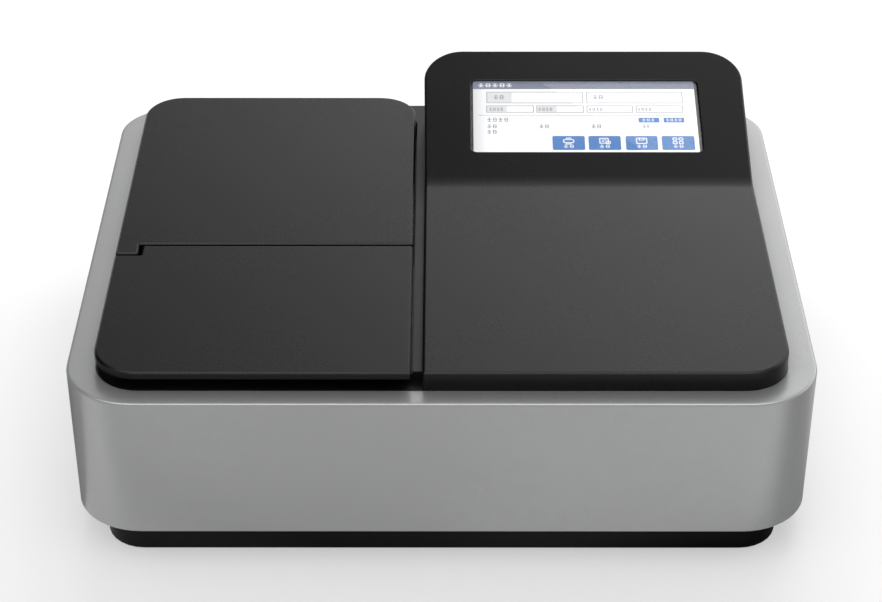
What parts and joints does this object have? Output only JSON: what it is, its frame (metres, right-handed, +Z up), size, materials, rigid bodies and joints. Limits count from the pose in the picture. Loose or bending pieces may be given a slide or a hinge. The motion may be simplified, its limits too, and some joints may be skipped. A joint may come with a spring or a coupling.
{
  "type": "fluorescence spectrophotometer",
  "caption": "Bench fluorescence spectrophotometer: silver body on a black plinth, hinged sample lid, fixed lamp cover, console with raised screen hood, optics on a cast bench.",
  "frame": {"origin": "centre of the footprint, on the bench surface under the feet", "axes": "+X to the right of the user facing the screen, +Y to the back, +Z up"},
  "size_m": [0.48, 0.39, 0.1766],
  "materials": {
    "silver_paint": "fine satin metallic",
    "black_plastic": "fine spark texture",
    "cover_plastic": "fine spark texture, satin",
    "screen_glass": "polished",
    "rubber": "matte",
    "steel": "zinc plated",
    "black_anodised": "matte anodised",
    "cast_aluminium": "sand cast",
    "clear_glass": "polished",
    "mirror_coat": "polished",
    "brass": "machined",
    "circuit_board": "solder mask",
    "nickel": "plated"
  },
  "bodies": {
    "housing": {"body_shell": "silver_paint", "base_tray": "black_plastic", "foot_front_left": "rubber", "foot_front_right": "rubber", "foot_rear_left": "rubber", "foot_rear_right": "rubber", "chassis_plate": "steel", "top_tray": "black_plastic", "rear_cover": "cover_plastic", "console_cover": "cover_plastic", "display_glass": "screen_glass", "display_panel": "black_plastic", "display_board": "circuit_board", "lid_gasket": "rubber", "hinge_ear_left": "steel", "hinge_ear_right": "steel", "bumper_left": "rubber", "bumper_right": "rubber", "catch_plate": "steel", "optical_bench": "cast_aluminium", "sample_chamber": "black_anodised", "cuvette_holder": "black_anodised", "excitation_case": "black_anodised", "excitation_lens_barrel": "black_anodised", "excitation_lens": "clear_glass", "excitation_mirror": "mirror_coat", "excitation_motor": "steel", "shutter_solenoid": "steel", "emission_case": "black_anodised", "emission_lens_barrel": "black_anodised", "emission_lens": "clear_glass", "emission_mirror": "mirror_coat", "emission_motor": "steel", "lamp_housing": "cast_aluminium", "xenon_lamp": "clear_glass", "lamp_reflector": "mirror_coat", "detector_housing": "black_anodised", "photomultiplier_tube": "clear_glass", "main_board": "circuit_board", "power_supply": "steel", "rear_panel": "steel", "mains_inlet": "black_plastic", "switch_frame": "black_plastic", "usb_port": "nickel", "serial_port": "nickel", "fan_frame": "black_plastic"},
    "lid": {"sample_lid": "cover_plastic", "lid_liner": "black_plastic", "lid_magnet": "nickel", "hinge_pin_left": "steel", "hinge_pin_right": "steel"},
    "rocker": {"power_rocker": "black_plastic"},
    "fan": {"fan_rotor": "black_plastic"},
    "excitation_table": {"excitation_turntable": "brass", "excitation_grating": "mirror_coat"},
    "excitation_drive": {"excitation_pinion": "brass"},
    "emission_table": {"emission_turntable": "brass", "emission_grating": "mirror_coat"},
    "emission_drive": {"emission_pinion": "brass"},
    "shutter": {"shutter_blade": "black_anodised"}
  },
  "joints": [
    {"name": "lid_hinge", "type": "hinge", "parent": "housing", "child": "lid", "pos_m": [-0.114, -0.032, 0.13275], "axis": [-1, 0, 0], "range_deg": [0, 100]},
    {"name": "power_switch", "type": "hinge", "parent": "housing", "child": "rocker", "pos_m": [0.076, 0.18975, 0.072], "axis": [1, 0, 0], "range_deg": [0, 16]},
    {"name": "fan_spin", "type": "hinge", "parent": "housing", "child": "fan", "pos_m": [0.158, 0.181, 0.072], "axis": [0, 1, 0], "continuous": true},
    {"name": "excitation_scan", "type": "hinge", "parent": "housing", "child": "excitation_table", "pos_m": [-0.12, 0.05, 0.062], "axis": [0, 0, 1], "range_deg": [-13, 13]},
    {"name": "excitation_motor_shaft", "type": "hinge", "parent": "housing", "child": "excitation_drive", "pos_m": [-0.088, 0.05, 0.062], "axis": [0, 0, 1], "range_deg": [-52, 52]},
    {"name": "emission_scan", "type": "hinge", "parent": "housing", "child": "emission_table", "pos_m": [0.048, -0.105, 0.062], "axis": [0, 0, 1], "range_deg": [-13, 13]},
    {"name": "emission_motor_shaft", "type": "hinge", "parent": "housing", "child": "emission_drive", "pos_m": [0.048, -0.137, 0.062], "axis": [0, 0, 1], "range_deg": [-52, 52]},
    {"name": "shutter_swing", "type": "hinge", "parent": "housing", "child": "shutter", "pos_m": [-0.098, -0.033, 0.07], "axis": [0, 0, -1], "range_deg": [0, 60]}
  ],
  "couplings": [
    {"joint": "excitation_motor_shaft", "follows": "excitation_scan", "ratio": -4},
    {"joint": "emission_motor_shaft", "follows": "emission_scan", "ratio": -4}
  ]
}
